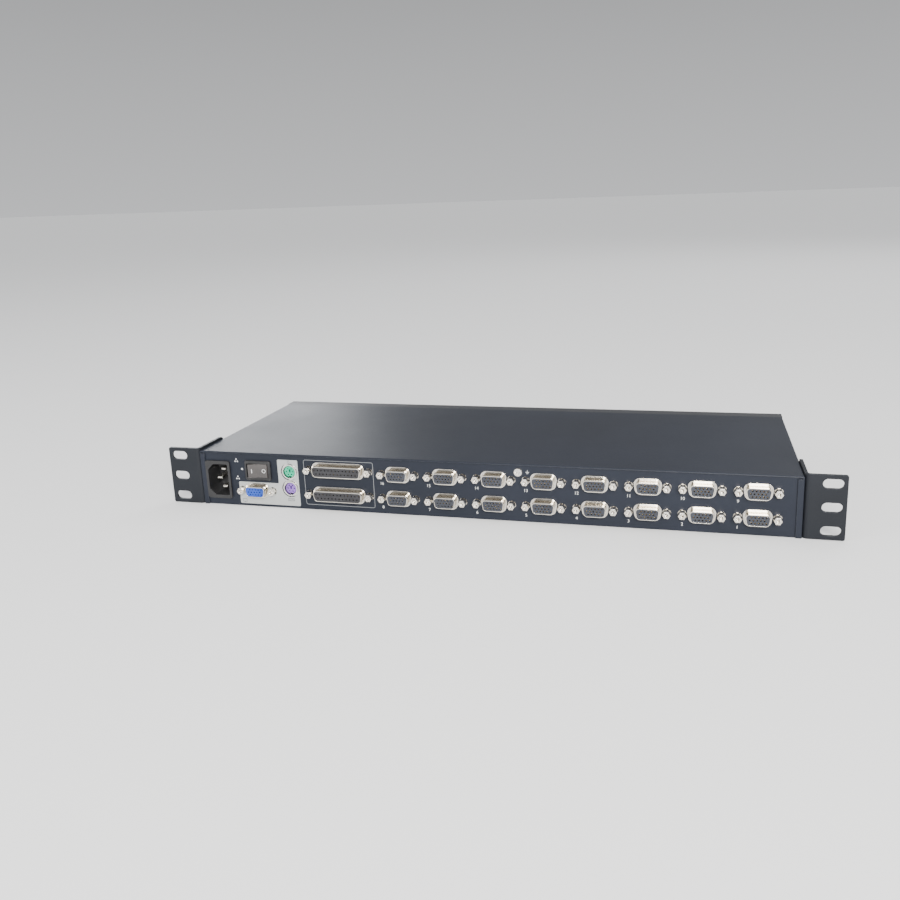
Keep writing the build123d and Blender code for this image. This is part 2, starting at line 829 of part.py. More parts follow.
# ------------------------------------------------------------------ boards and what they carry
def main_board_spots():
    """Screw positions of the main board."""
    xs = (main_left + spacer_inset, (main_left + main_right) / 2, main_right - spacer_inset)
    back = main_front + main_board_depth - spacer_inset
    front = main_front + 28.0
    return [(x, y) for x in xs for y in (front, back)]


def supply_spots():
    """Screw positions of the supply board."""
    left = -side + supply_left + spacer_inset
    right = left + supply_width - 2 * spacer_inset
    front = port_y + supply_back + spacer_inset
    back = front + supply_depth - 2 * spacer_inset
    return [(x, y) for x in (left, right) for y in (front, back)]


def build_boards():
    with BuildPart() as main_board:
        with BuildSketch(Plane.XY.offset(board_bottom)):
            with Locations(((main_left + main_right) / 2, main_front + main_board_depth / 2)):
                Rectangle(main_right - main_left, main_board_depth)
            video_x_mid = video_spot[0]
            reach = small_screw_gap + 2 * plate_margin_x
            with Locations((video_x_mid + 6.0, main_front + 12.0)):
                Rectangle(reach + 12.0, 24.0)
            with Locations(*main_board_spots()):
                Circle(screw_hole, mode=Mode.SUBTRACT)
        extrude(amount=board)
    main_board.part.label = "main_board"
    export_step(main_board.part, "parts/main_board.step")

    with BuildPart() as supply_board:
        with BuildSketch(Plane.XY.offset(board_bottom)):
            middle_x = -side + supply_left + supply_width / 2
            middle_y = port_y + supply_back + supply_depth / 2
            with Locations((middle_x, middle_y)):
                Rectangle(supply_width, supply_depth)
            with Locations(*supply_spots()):
                Circle(screw_hole, mode=Mode.SUBTRACT)
        extrude(amount=board)
    supply_board.part.label = "supply_board"
    export_step(supply_board.part, "parts/supply_board.step")

    with BuildPart() as spacers:
        with BuildSketch(Plane.XY.offset(sheet)):
            with Locations(*main_board_spots(), *supply_spots()):
                Circle(spacer_radius)
                Circle(thread_hole, mode=Mode.SUBTRACT)
        extrude(amount=spacer_height)
    spacers.part.label = "board_spacers"
    export_step(spacers.part, "parts/board_spacers.step")


def build_components():
    chip_area_x = (main_left + 24.0, main_right - 24.0)
    chip_y = main_front + 48.0
    chip_pitch = (chip_area_x[1] - chip_area_x[0]) / (port_columns - 1)
    chip_row = [(chip_area_x[0] + i * chip_pitch, chip_y) for i in range(port_columns)]
    processor = [((main_left + main_right) / 2 - 40.0, chip_y + 32.0)]
    with BuildPart() as chips:
        with BuildSketch(Plane.XY.offset(board_top)):
            with Locations(*chip_row):
                Rectangle(14.0, 14.0)
            with Locations(*processor):
                Rectangle(24.0, 24.0)
            with Locations((processor[0][0] + 60.0, processor[0][1])):
                Rectangle(18.0, 10.0)
        extrude(amount=2.2)
        chamfer(chips.faces().filter_by(Plane.XY).group_by(Axis.Z)[-1].edges(), 0.3)
    chips.part.label = "board_chips"
    export_step(chips.part, "parts/board_chips.step")

    supply_mid = -side + supply_left + supply_width / 2
    supply_y = port_y + supply_back
    with BuildPart() as transformer:
        with BuildSketch(Plane.XY.offset(board_top)):
            with Locations((supply_mid, supply_y + 46.0)):
                Rectangle(30.0, 24.0)
        extrude(amount=5.0)
        with BuildSketch(Plane.XY.offset(board_top + 5.0)):
            with Locations((supply_mid, supply_y + 46.0)):
                Rectangle(24.0, 18.0)
        extrude(amount=12.0)
        with BuildSketch(Plane.XY.offset(board_top + 17.0)):
            with Locations((supply_mid, supply_y + 46.0)):
                Rectangle(30.0, 24.0)
        extrude(amount=4.0)
    transformer.part.label = "supply_transformer"
    export_step(transformer.part, "parts/supply_transformer.step")

    with BuildPart() as capacitors:
        for dx, dy, radius, height in (
            (-12.0, 22.0, 8.0, 22.0),
            (12.0, 20.0, 5.0, 16.0),
            (-14.0, supply_depth - 16.0, 4.0, 12.0),
            (0.0, supply_depth - 16.0, 4.0, 12.0),
            (-7.0, supply_depth - 6.5, 4.0, 12.0),
        ):
            with BuildSketch(Plane.XY.offset(board_top)):
                with Locations((supply_mid + dx, supply_y + dy)):
                    Circle(radius)
            extrude(amount=height)
        fillet(capacitors.faces().filter_by(Plane.XY).edges().group_by(Axis.Z)[-1], 0.8)
    capacitors.part.label = "supply_capacitors"
    export_step(capacitors.part, "parts/supply_capacitors.step")


def build_wiring():
    """Supply lead to the main board and the ribbon to the button board, with their plugs."""
    lead_z = board_top + 4.0
    start_x = -side + supply_left + supply_width - 8.0
    start_y = main_front + main_board_depth - supply_lead_inset
    end_x = main_left + 14.0
    plug_width = 6.0
    plug_y = main_front + main_board_depth - 8.0
    mains_x = -side + supply_left + 15.0
    mains_y = port_y + supply_back + plug_width
    mains_start = port_y + inlet_body_depth
    with BuildPart() as wiring:
        with BuildSketch(Plane.XY.offset(board_top)):
            with Locations((start_x, start_y), (end_x, start_y)):
                Rectangle(plug_width, 12.0)
            with Locations((mains_x, mains_y)):
                Rectangle(12.0, plug_width)
        extrude(amount=7.0)
        with BuildSketch(facing_out(mains_y - plug_width / 2)):
            with Locations((mains_x, lead_z)):
                with GridLocations(3.0, 1, 3, 1):
                    Circle(wire_radius)
        extrude(amount=mains_y - plug_width / 2 - mains_start)
        with BuildSketch(Plane.YZ.offset(start_x + plug_width / 2)):
            with Locations((start_y, lead_z)):
                with GridLocations(3.5, 1, 3, 1):
                    Circle(wire_radius)
        extrude(amount=end_x - start_x - plug_width)
        with BuildSketch(Plane.XY.offset(board_top)):
            with Locations((ribbon_x, plug_y)):
                Rectangle(ribbon_width + 3.0, plug_width)
        extrude(amount=5.0)
        ribbon_start = plug_y + plug_width / 2
        with BuildSketch(Plane.XY.offset(board_top + ribbon_lift)):
            with Locations((ribbon_x, (ribbon_start + button_board_back) / 2)):
                Rectangle(ribbon_width, button_board_back - ribbon_start)
        extrude(amount=ribbon_thickness)
    wiring.part.label = "internal_wiring"
    export_step(wiring.part, "parts/internal_wiring.step")


# ------------------------------------------------------------------ bezel and controls
def lens_spots():
    """Two indicator lenses over each button, and the power lens."""
    pairs = [(x + s * lens_gap / 2, lens_z) for x in button_xs for s in (-1, 1)]
    return pairs + [(power_lens_x, lens_z)]


def build_bezel():
    with BuildPart() as bezel:
        with BuildSketch(facing_out(bezel_y)):
            with Locations((0, chassis_height / 2)):
                Rectangle(chassis_width, chassis_height)
        extrude(amount=bezel_depth)
        fillet(bezel.faces().sort_by(Axis.Y)[-1].edges(), bezel_corner)
        with BuildSketch(facing_out(bezel_inside)):
            with Locations((0, chassis_height / 2)):
                Rectangle(chassis_width - 2 * bezel_wall, chassis_height - 2 * bezel_wall)
        extrude(amount=bezel_depth - bezel_face, mode=Mode.SUBTRACT)
        with BuildSketch(facing_out(button_board_face)):
            with Locations(*boss_spots):
                Circle(boss_radius)
        extrude(amount=button_board_face - bezel_inside)
        with BuildSketch(facing_out(button_board_face)):
            with Locations(*boss_spots):
                Circle(thread_hole)
        extrude(amount=-boss_hole_depth, mode=Mode.SUBTRACT)
        with BuildSketch(facing_out(wall_y)):
            with Locations(*post_spots):
                Circle(post_radius)
        extrude(amount=wall_y - bezel_inside)
        with BuildSketch(facing_out(wall_y)):
            with Locations(*post_spots):
                Circle(thread_hole)
        extrude(amount=-boss_hole_depth, mode=Mode.SUBTRACT)
        with BuildSketch(facing_out(bezel_y)):
            with Locations(*[(x, button_z) for x in button_xs]):
                Rectangle(button_width + 2 * button_gap, button_height + 2 * button_gap)
            with Locations(*lens_spots()):
                Rectangle(lens_width + 2 * fit, lens_height + 2 * fit)
            with Locations((display_x, display_z)):
                Rectangle(display_width + 2 * fit, display_height + 2 * fit)
            with Locations((reset_x, reset_z)):
                Circle(reset_radius + reset_gap)
            with Locations((slider_x + slider_travel / 2, slider_z)):
                Rectangle(
                    slider_width + slider_travel + 2 * slider_gap, slider_height + 2 * slider_gap
                )
            with Locations((socket_x, socket_z)):
                Rectangle(socket_width + 2 * fit, socket_height + 2 * fit)
        extrude(amount=bezel_face, mode=Mode.SUBTRACT)
    bezel.part.label = "front_bezel"
    export_step(bezel.part, "parts/front_bezel.step")


def build_button_board():
    height = chassis_height - 2 * bezel_wall - 2 * button_board_margin
    with BuildPart() as button_board:
        with BuildSketch(facing_out(button_board_face)):
            with Locations((0, chassis_height / 2)):
                Rectangle(button_board_width, height)
            with Locations((socket_x, socket_z)):
                Rectangle(socket_width, socket_height, mode=Mode.SUBTRACT)
            with Locations(*boss_spots):
                Circle(screw_hole, mode=Mode.SUBTRACT)
        extrude(amount=board)
    button_board.part.label = "button_board"
    export_step(button_board.part, "parts/button_board.step")

    switch_spots = [(x, button_z) for x in button_xs]
    with BuildPart() as switches:
        with BuildSketch(facing_out(tact_top)):
            with Locations(*switch_spots, (reset_x, reset_z)):
                Rectangle(tact_size, tact_size)
        extrude(amount=tact_height)
        with BuildSketch(facing_out(tact_top + tact_plunger)):
            with Locations(*switch_spots, (reset_x, reset_z)):
                Circle(1.7)
        extrude(amount=tact_plunger)
    switches.part.label = "tact_switches"
    export_step(switches.part, "parts/tact_switches.step")

    with BuildPart() as lenses:
        with BuildSketch(facing_out(bezel_y + fit)):
            with Locations(*lens_spots()):
                Rectangle(lens_width, lens_height)
        extrude(amount=bezel_y + fit - button_board_face)
    lenses.part.label = "indicator_lenses"
    export_step(lenses.part, "parts/indicator_lenses.step")

    with BuildPart() as display:
        with BuildSketch(facing_out(bezel_y - display_recess)):
            with Locations((display_x, display_z)):
                Rectangle(display_width, display_height)
        extrude(amount=bezel_y - display_recess - button_board_face)
    display.part.label = "station_display"
    export_step(display.part, "parts/station_display.step")


def build_buttons():
    back = tact_top + tact_plunger + button_travel + seam
    flange_face = bezel_inside - button_flange_gap
    for number, x in enumerate(button_xs, start=1):
        with BuildPart() as button:
            with BuildSketch(facing_out(bezel_y + button_proud)):
                with Locations((x, button_z)):
                    Rectangle(button_width, button_height)
            extrude(amount=bezel_y + button_proud - back)
            fillet(button.faces().sort_by(Axis.Y)[-1].edges(), button_edge)
            with BuildSketch(facing_out(flange_face)):
                with Locations((x, button_z)):
                    Rectangle(
                        button_width + 2 * button_flange, button_height + 2 * button_flange
                    )
            extrude(amount=button_flange)
        button.part.label = f"port_button_{number:02d}"
        export_step(button.part, f"parts/{button.part.label}.step")


def build_small_controls():
    back = tact_top + tact_plunger + reset_travel + seam
    flange_face = bezel_inside - button_flange_gap
    with BuildPart() as reset:
        with BuildSketch(facing_out(bezel_y - reset_recess)):
            with Locations((reset_x, reset_z)):
                Circle(reset_radius)
        extrude(amount=bezel_y - reset_recess - back)
        with BuildSketch(facing_out(flange_face)):
            with Locations((reset_x, reset_z)):
                Circle(reset_radius + 2 * button_flange)
        extrude(amount=button_flange)
    reset.part.label = "reset_button"
    export_step(reset.part, "parts/reset_button.step")

    knob_back = button_board_face + seam
    with BuildPart() as slider:
        with BuildSketch(facing_out(bezel_y + slider_proud)):
            with Locations((slider_x, slider_z)):
                Rectangle(slider_width, slider_height)
        extrude(amount=bezel_y + slider_proud - knob_back)
        with BuildSketch(facing_out(flange_face)):
            with Locations((slider_x, slider_z)):
                Rectangle(slider_width + 4 * button_flange, slider_height + 2 * button_flange)
        extrude(amount=button_flange)
    slider.part.label = "update_slider"
    export_step(slider.part, "parts/update_slider.step")

    with BuildPart() as socket:
        with BuildSketch(facing_out(bezel_y)):
            with Locations((socket_x, socket_z)):
                Rectangle(socket_width, socket_height)
        extrude(amount=socket_depth)
        with BuildSketch(facing_out(bezel_y)):
            with Locations((socket_x, socket_z)):
                Rectangle(socket_mouth_width, socket_mouth_height)
            latch_z = socket_z - (socket_mouth_height + socket_latch_height) / 2
            with Locations((socket_x, latch_z)):
                Rectangle(socket_latch_width, socket_latch_height)
        extrude(amount=socket_mouth_depth, mode=Mode.SUBTRACT)
    socket.part.label = "update_socket"
    export_step(socket.part, "parts/update_socket.step")


build_tray()
build_cover()
build_ears()
build_screws()
build_ports()
build_console_and_chain()
build_jackscrews()
build_round_sockets()
build_console_film()
build_inlet()
build_power_switch()
build_boards()
build_components()
build_wiring()
build_bezel()
build_button_board()
build_buttons()
build_small_controls()
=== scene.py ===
"""Looks of the rack-mount KVM switch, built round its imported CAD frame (metres, +Z up)."""

import json
from math import cos, pi, radians, sin

import bpy
from mathutils import Matrix, Vector


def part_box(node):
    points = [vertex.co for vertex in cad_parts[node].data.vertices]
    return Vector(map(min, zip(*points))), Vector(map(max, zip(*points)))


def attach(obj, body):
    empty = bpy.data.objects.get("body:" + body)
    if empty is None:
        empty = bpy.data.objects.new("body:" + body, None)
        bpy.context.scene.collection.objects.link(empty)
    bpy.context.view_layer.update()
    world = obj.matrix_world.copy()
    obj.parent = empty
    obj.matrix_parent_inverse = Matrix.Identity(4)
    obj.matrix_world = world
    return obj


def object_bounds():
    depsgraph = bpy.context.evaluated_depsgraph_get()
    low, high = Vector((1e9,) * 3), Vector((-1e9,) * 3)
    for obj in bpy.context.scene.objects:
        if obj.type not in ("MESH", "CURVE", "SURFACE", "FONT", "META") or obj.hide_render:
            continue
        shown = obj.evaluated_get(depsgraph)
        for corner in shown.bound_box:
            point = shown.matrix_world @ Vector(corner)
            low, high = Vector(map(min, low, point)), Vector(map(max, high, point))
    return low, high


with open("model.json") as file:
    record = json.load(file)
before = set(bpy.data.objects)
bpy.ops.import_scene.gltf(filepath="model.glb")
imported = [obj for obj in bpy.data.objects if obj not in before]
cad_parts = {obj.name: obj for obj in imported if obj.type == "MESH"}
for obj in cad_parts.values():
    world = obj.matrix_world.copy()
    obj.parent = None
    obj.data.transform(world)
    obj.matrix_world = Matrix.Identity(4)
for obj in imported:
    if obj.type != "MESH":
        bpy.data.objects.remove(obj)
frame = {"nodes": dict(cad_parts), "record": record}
cad_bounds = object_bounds()
nodes = frame["nodes"]
MM = 0.001


# ---------------------------------------------------------------- places read from the CAD
def low(node):
    return Vector(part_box(node)[0])


def high(node):
    return Vector(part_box(node)[1])


def middle(node):
    return (low(node) + high(node)) / 2


panel_y = low("base_tray").y
bezel_y = high("front_bezel").y
plate_margin = 6.25 * MM  # edge of a shell plate to its socket's axis
rows = (low("dual_port_shell_1").z + plate_margin, high("dual_port_shell_1").z - plate_margin)
columns = [middle(f"dual_port_shell_{i}").x for i in range(1, 9)]
jack_gap = 12.495 * MM  # axis of a fifteen-way socket to its jackscrews
port_spots = [(x, z) for z in rows for x in columns]
video_spot = (middle("video_shell").x, middle("video_shell").z)
chain_x = middle("chain_shells").x
chain_rows = (low("chain_shells").z + plate_margin, high("chain_shells").z - plate_margin)
chain_jack_gap = 23.52 * MM
ink_lift = 0.04 * MM  # print stands this far off its surface
button_spots = [middle(f"port_button_{i:02d}") for i in range(1, 17)]


# ---------------------------------------------------------------- camera, light and floor
def make_camera():
    """In front of the port panel, right of its middle and above it, with the frame off the lens's axis."""
    data = bpy.data.cameras.new("camera")
    data.sensor_width = 36.0
    data.lens = 33.75
    data.shift_x = -0.0333
    data.shift_y = -0.0556
    data.clip_start = 0.01
    camera = bpy.data.objects.new("camera", data)
    right = Vector((0.970166, 0.240010, -0.034250))
    up = Vector((-0.023344, 0.233094, 0.972174))
    back = right.cross(up)
    turn = Matrix((right, up, back)).transposed().to_4x4()
    place = Vector((0.14346, panel_y - 0.54204, 0.21982))
    camera.matrix_world = Matrix.Translation(place) @ turn
    bpy.context.scene.collection.objects.link(camera)
    bpy.context.scene.camera = camera


def area_light(name, place, target, size, power, colour=(1.0, 1.0, 1.0)):
    data = bpy.data.lights.new(name, "AREA")
    data.shape = "RECTANGLE"
    data.size, data.size_y = size
    data.energy = power
    data.color = colour
    light = bpy.data.objects.new(name, data)
    light.location = place
    aim = Vector(target) - Vector(place)
    light.rotation_euler = aim.to_track_quat("-Z", "Y").to_euler()
    bpy.context.scene.collection.objects.link(light)
    return light


def make_world():
    """Pale at the horizon and dimmer overhead, as in a studio with a pale sweep."""
    world = bpy.data.worlds.new("studio")
    world.use_nodes = True
    tree = world.node_tree
    place = tree.nodes.new("ShaderNodeTexCoord")
    split = tree.nodes.new("ShaderNodeSeparateXYZ")
    tree.links.new(place.outputs["Generated"], split.inputs["Vector"])
    ramp = tree.nodes.new("ShaderNodeValToRGB")
    tree.links.new(split.outputs["Z"], ramp.inputs["Fac"])
    horizon, overhead, low_sky_height = 0.80, 0.22, 0.28
    stops = ramp.color_ramp.elements
    for stop, height, grey in zip(stops, (0.0, 1.0), (horizon, overhead)):
        stop.position = height
        stop.color = (grey, grey * 1.01, grey * 1.03, 1.0)
    stops.new(low_sky_height).color = (0.46, 0.465, 0.475, 1.0)
    background = tree.nodes["Background"]
    tree.links.new(ramp.outputs["Color"], background.inputs["Color"])
    background.inputs["Strength"].default_value = 0.85
    bpy.context.scene.world = world


def make_lights():
    """Soft boxes in front and behind, a soft sky, and a box that lights reflections only."""
    warm, cool, pale_blue = (1.0, 0.98, 0.95), (0.94, 0.96, 1.0), (0.95, 0.97, 1.0)
    centre, right_of_centre, left_end = (0, 0, 0.02), (0.05, 0, 0.02), (-0.15, 0, 0.04)
    area_light("key", (0.55, -1.60, 0.80), right_of_centre, (1.1, 0.8), power=76, colour=warm)
    area_light("fill", (-1.35, -1.0, 0.8), centre, (1.0, 0.8), power=9, colour=cool)
    area_light("behind", (1.0, 1.9, 1.9), centre, (1.2, 1.0), power=16)
    sheen = area_light(
        "sheen", (-1.59, 1.55, 0.46), left_end, (1.5, 0.75), power=27, colour=pale_blue
    )
    sheen.visible_diffuse = False
    sky = bpy.data.lights.new("sky", "SUN")
    sky.energy = 2.0
    sky.angle = radians(70)
    bpy.context.scene.collection.objects.link(bpy.data.objects.new("sky", sky))


def make_floor():
    """A wide matte sheet just under the switch."""
    mesh = bpy.data.meshes.new("floor")
    half = 80.0
    gap = 0.2 * MM
    corners = [(-half, -half, 0), (half, -half, 0), (half, half, 0), (-half, half, 0)]
    mesh.from_pydata(corners, [], [(0, 1, 2, 3)])
    floor = bpy.data.objects.new("floor", mesh)
    bpy.context.scene.collection.objects.link(floor)
    floor.location.z = cad_bounds[0][2] - gap
    shade = Shader("floor_paper", (0.84, 0.845, 0.85), 0.9, Specular_IOR_Level=0.0)
    mesh.materials.append(shade.material)


# ---------------------------------------------------------------- node materials
class Shader:
    """A node material round one Principled shader, in the object's own coordinates."""

    def __init__(self, name, colour, roughness, **sockets):
        self.material = bpy.data.materials.new(name)
        self.material.use_nodes = True
        self.tree = self.material.node_tree
        self.surface = self.tree.nodes["Principled BSDF"]
        self.set("Base Color", (*colour, 1.0))
        self.set("Roughness", roughness)
        for socket, value in sockets.items():
            self.set(socket.replace("_", " "), value)
        self.place = self.add("ShaderNodeTexCoord").outputs["Object"]

    def set(self, socket, value):
        self.surface.inputs[socket].default_value = value

    def add(self, kind, **settings):
        node = self.tree.nodes.new(kind)
        for key, value in settings.items():
            setattr(node, key, value)
        return node

    def feed(self, node, socket, value):
        """Links an output, or sets a plain value."""
        if isinstance(value, bpy.types.NodeSocket):
            self.tree.links.new(value, node.inputs[socket])
        else:
            node.inputs[socket].default_value = value

    def stretched(self, scale, turn=(0, 0, 0)):
        node = self.add("ShaderNodeMapping")
        node.inputs["Scale"].default_value = scale
        node.inputs["Rotation"].default_value = turn
        self.feed(node, "Vector", self.place)
        return node.outputs["Vector"]

    def noise(self, scale, detail=2.0, rough=0.5, place=None, distortion=0.0):
        node = self.add("ShaderNodeTexNoise")
        self.feed(node, "Vector", place or self.place)
        for socket, value in (
            ("Scale", scale), ("Detail", detail), ("Roughness", rough), ("Distortion", distortion)
        ):
            node.inputs[socket].default_value = value
        return node.outputs["Fac"]

    def grain(self, scale, place=None):
        node = self.add("ShaderNodeTexVoronoi")
        self.feed(node, "Vector", place or self.place)
        node.inputs["Scale"].default_value = scale
        return node.outputs["Distance"]

    def spread(self, value, from_low, from_high, to_low, to_high):
        node = self.add("ShaderNodeMapRange")
        self.feed(node, "Value", value)
        for socket, number in (
            ("From Min", from_low), ("From Max", from_high), ("To Min", to_low), ("To Max", to_high)
        ):
            node.inputs[socket].default_value = number
        return node.outputs["Result"]

    def maths(self, kind, a, b=0.0):
        node = self.add("ShaderNodeMath", operation=kind)
        self.feed(node, 0, a)
        self.feed(node, 1, b)
        return node.outputs["Value"]

    def axes(self):
        node = self.add("ShaderNodeSeparateXYZ")
        self.feed(node, "Vector", self.place)
        return node.outputs

    def mix(self, share, a, b):
        node = self.add("ShaderNodeMix", data_type="RGBA")
        self.feed(node, "Factor", share)
        for index, colour in ((6, a), (7, b)):
            if isinstance(colour, bpy.types.NodeSocket):
                self.tree.links.new(colour, node.inputs[index])
            else:
                node.inputs[index].default_value = (*colour, 1.0)
        return node.outputs[2]

    def colour(self, value):
        self.tree.links.new(value, self.surface.inputs["Base Color"])

    def roughness(self, value):
        self.tree.links.new(value, self.surface.inputs["Roughness"])

    def relief(self, *layers, edge=0.0):
        """Bump layers of (height, depth in metres), on rounded edges where edge is a radius."""
        normal = None
        if edge:
            node = self.add("ShaderNodeBevel", samples=4)
            node.inputs["Radius"].default_value = edge
            normal = node.outputs["Normal"]
        for height, depth in layers:
            node = self.add("ShaderNodeBump")
            node.inputs["Strength"].default_value = 1.0
            node.inputs["Distance"].default_value = depth
            self.feed(node, "Height", height)
            if normal:
                self.feed(node, "Normal", normal)
            normal = node.outputs["Normal"]
        self.tree.links.new(normal, self.surface.inputs["Normal"])

    def edges(self, radius):
        """1 on outer edges, falling to 0 a radius away."""
        bevel = self.add("ShaderNodeBevel", samples=4)
        bevel.inputs["Radius"].default_value = radius
        geometry = self.add("ShaderNodeNewGeometry")
        dot = self.add("ShaderNodeVectorMath", operation="DOT_PRODUCT")
        self.feed(dot, 0, bevel.outputs["Normal"])
        self.feed(dot, 1, geometry.outputs["Normal"])
        flat, sharp = 0.995, 0.82  # cosine between the rounded normal and the face's own
        return self.spread(dot.outputs["Value"], flat, sharp, 0.0, 1.0)


def powder_coat(name, dark, light, rough=0.40):
    """Fine-textured black powder coat on sheet steel, with lighter edges that are partly wear and partly a
    painted highlight, and a little dust.
    """
    s = Shader(name, dark, rough, Specular_IOR_Level=0.18)
    cloud = s.noise(9.0, 4.0, 0.6)
    speck = s.noise(1900.0, 2.0, 0.6)
    tone = s.mix(s.spread(cloud, 0.3, 0.7, 0.0, 1.0), dark, light)
    pale = [min(1.0, c * 1.5 + 0.006) for c in light]
    tone = s.mix(s.spread(speck, 0.60, 0.78, 0.0, 0.5), tone, pale)
    # Painted highlight: outer edges are lightened, partly as worn paint and partly standing in for light
    # caught on the bends.
    wear_and_edge_highlight = s.maths("MULTIPLY", s.edges(0.45 * MM), s.spread(s.noise(240.0, 4.0), 0.4, 0.7, 0.2, 0.8))
    tone = s.mix(wear_and_edge_highlight, tone, (0.13, 0.137, 0.15))
    s.colour(tone)
    smudge = s.spread(s.noise(14.0, 6.0, 0.6), 0.3, 0.75, rough - 0.015, rough + 0.035)
    s.roughness(s.maths("ADD", smudge, s.spread(speck, 0.3, 0.7, -0.03, 0.04)))
    peel = s.noise(430.0, 2.0, 0.5)
    s.relief((peel, 0.00005), (speck, 0.00004), edge=0.5 * MM)
    return s.material


def plating(name, colour, rough, grain=(60.0, 900.0, 900.0), depth=0.000006):
    """Bright plated metal with drawing marks and a slightly uneven tone."""
    s = Shader(name, colour, rough, Metallic=1.0)
    cloud = s.noise(160.0, 4.0, 0.6)
    deep = [c * 0.80 for c in colour]
    s.colour(s.mix(s.spread(cloud, 0.35, 0.75, 0.0, 0.6), colour, deep))
    marks = s.noise(1.0, 3.0, 0.6, place=s.stretched(grain))
    s.roughness(s.spread(marks, 0.3, 0.75, rough - 0.03, rough + 0.09))
    s.relief((marks, depth), edge=0.12 * MM)
    return s.material


def moulded(name, colour, rough, grain=1500.0, depth=0.00002, vary=0.18, edge=0.15 * MM, **sockets):
    """Moulded plastic with a spark-eroded grain and slight flow marks."""
    s = Shader(name, colour, rough, **sockets)
    flow = s.noise(70.0, 3.0, 0.55, distortion=0.6)
    pale = [min(1.0, c * (1.0 + vary) + 0.004) for c in colour]
    deep = [c * (1.0 - vary) for c in colour]
    s.colour(s.mix(s.spread(flow, 0.3, 0.7, 0.0, 1.0), deep, pale))
    fine = s.noise(grain, 2.0, 0.6)
    s.roughness(s.spread(fine, 0.3, 0.7, rough - 0.05, rough + 0.07))
    s.relief((fine, depth), edge=edge)
    return s.material


def printed(name, colour, rough=0.55):
    """Screen-printed ink, thinner in places."""
    s = Shader(name, colour, rough)
    thin = s.noise(2600.0, 2.0, 0.6)
    deep = [c * 0.78 for c in colour]
    s.colour(s.mix(s.spread(thin, 0.45, 0.75, 0.0, 1.0), colour, deep))
    s.relief((thin, 0.000008))
    return s.material


def laminate():
    """Circuit board: green solder mask over tracks and pads."""
    s = Shader("board_laminate", (0.012, 0.10, 0.045), 0.32)
    track = s.add("ShaderNodeTexBrick", offset=0.5, squash=1.6)
    for socket, value in (
        ("Scale", 1.0), ("Mortar Size", 0.00028), ("Brick Width", 0.0072), ("Row Height", 0.0021),
        ("Mortar Smooth", 0.2), ("Bias", 0.0),
    ):
        track.inputs[socket].default_value = value
    s.feed(track, "Vector", s.place)
    lines = track.outputs["Fac"]
    pads = s.spread(s.grain(420.0), 0.10, 0.16, 1.0, 0.0)
    tone = s.mix(s.noise(60.0, 3.0), (0.010, 0.085, 0.038), (0.016, 0.125, 0.058))
    tone = s.mix(lines, tone, (0.035, 0.21, 0.09))
    s.colour(s.mix(pads, tone, (0.52, 0.50, 0.44)))
    s.relief((lines, 0.00003), (pads, 0.00002))
    return s.material


def lens_plastic():
    """Milky light pipes: green on one side of each button, amber on the other."""
    s = Shader("lens_plastic", (0.4, 0.5, 0.35), 0.22, Coat_Weight=0.6, Coat_Roughness=0.06)
    x = s.axes()["X"]
    # The buttons stand in two groups of eight. Each button's stretch is one pitch wide, amber on
    # its low-x half and green on its high-x half, and the power lens past them is green.
    pitch = (button_spots[0] - button_spots[1]).x
    first = s.maths("SUBTRACT", x, button_spots[7].x - pitch / 2)
    second = s.maths("SUBTRACT", x, button_spots[15].x - pitch / 2)
    later = s.maths("LESS_THAN", x, (button_spots[7].x + button_spots[8].x) / 2)
    from_start = s.add("ShaderNodeMix", data_type="FLOAT")
    for index, value in ((0, later), (2, first), (3, second)):
        s.feed(from_start, index, value)
    turn = s.maths("FRACT", s.maths("DIVIDE", from_start.outputs[0], pitch))
    amber_tone, green_tone = (0.62, 0.30, 0.10), (0.16, 0.48, 0.14)
    green_half = s.maths("GREATER_THAN", turn, 0.5)
    tone = s.mix(green_half, amber_tone, green_tone)
    power = s.maths("GREATER_THAN", x, button_spots[0].x + pitch * 0.6)
    tone = s.mix(power, tone, green_tone)
    s.colour(s.mix(s.spread(s.noise(900.0), 0.3, 0.7, 0.0, 0.35), tone, (0.55, 0.56, 0.50)))
    s.relief((s.noise(700.0), 0.00001), edge=0.2 * MM)
    return s.material


def wrapped_core():
    """Ferrite core with a taped winding between its halves."""
    s = Shader("transformer_core", (0.06, 0.06, 0.065), 0.55)
    box_low, box_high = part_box("supply_transformer")
    core_foot, core_top = 5.0 * MM, 4.0 * MM
    z = s.axes()["Z"]
    above = s.maths("GREATER_THAN", z, box_low[2] + core_foot)
    below = s.maths("LESS_THAN", z, box_high[2] - core_top)
    wound = s.maths("MULTIPLY", above, below)
    wrap = s.noise(1.0, 2.0, place=s.stretched((8.0, 8.0, 700.0)))
    tape = s.mix(s.spread(wrap, 0.4, 0.6, 0.0, 1.0), (0.42, 0.30, 0.05), (0.58, 0.45, 0.10))
    core = s.mix(s.noise(800.0), (0.04, 0.04, 0.043), (0.10, 0.10, 0.10))
    s.colour(s.mix(wound, core, tape))
    s.relief((wrap, 0.00004), (s.noise(1200.0), 0.00002), edge=0.3 * MM)
    return s.material


